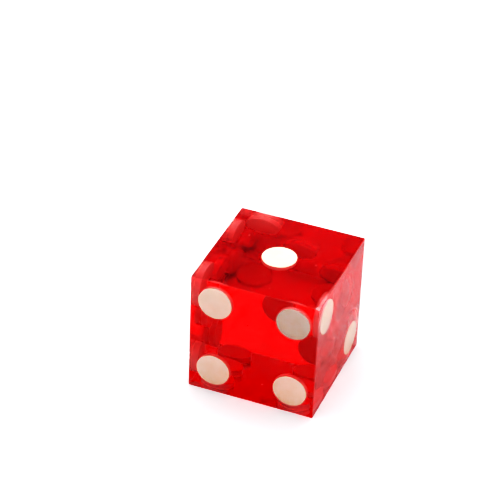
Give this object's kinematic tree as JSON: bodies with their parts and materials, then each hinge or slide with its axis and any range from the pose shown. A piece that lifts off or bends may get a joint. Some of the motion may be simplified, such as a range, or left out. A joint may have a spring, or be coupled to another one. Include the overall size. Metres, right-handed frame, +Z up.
{
  "type": "casino die",
  "caption": "Precision casino die: a clear red sharp-edged cube with flush white spots set in blind recesses, thrown on a table so that its upper face shows a number.",
  "frame": {"origin": "middle of the bottom face, face 6, so that the die stands on the ground plane", "axes": "+Z up through face 1, -Y to the front through face 4, +X to the right through face 2"},
  "size_m": [0.019, 0.019, 0.0191],
  "materials": {
    "clear_red": "polished, transparent",
    "white_filler": "ground flush and polished"
  },
  "bodies": {
    "root": {"die_body": "clear_red", "spot_1_1": "white_filler", "spot_2_1": "white_filler", "spot_2_2": "white_filler", "spot_3_1": "white_filler", "spot_3_2": "white_filler", "spot_3_3": "white_filler", "spot_4_1": "white_filler", "spot_4_2": "white_filler", "spot_4_3": "white_filler", "spot_4_4": "white_filler", "spot_5_1": "white_filler", "spot_5_2": "white_filler", "spot_5_3": "white_filler", "spot_5_4": "white_filler", "spot_5_5": "white_filler", "spot_6_1": "white_filler", "spot_6_2": "white_filler", "spot_6_3": "white_filler", "spot_6_4": "white_filler", "spot_6_5": "white_filler", "spot_6_6": "white_filler"}
  },
  "joints": []
}
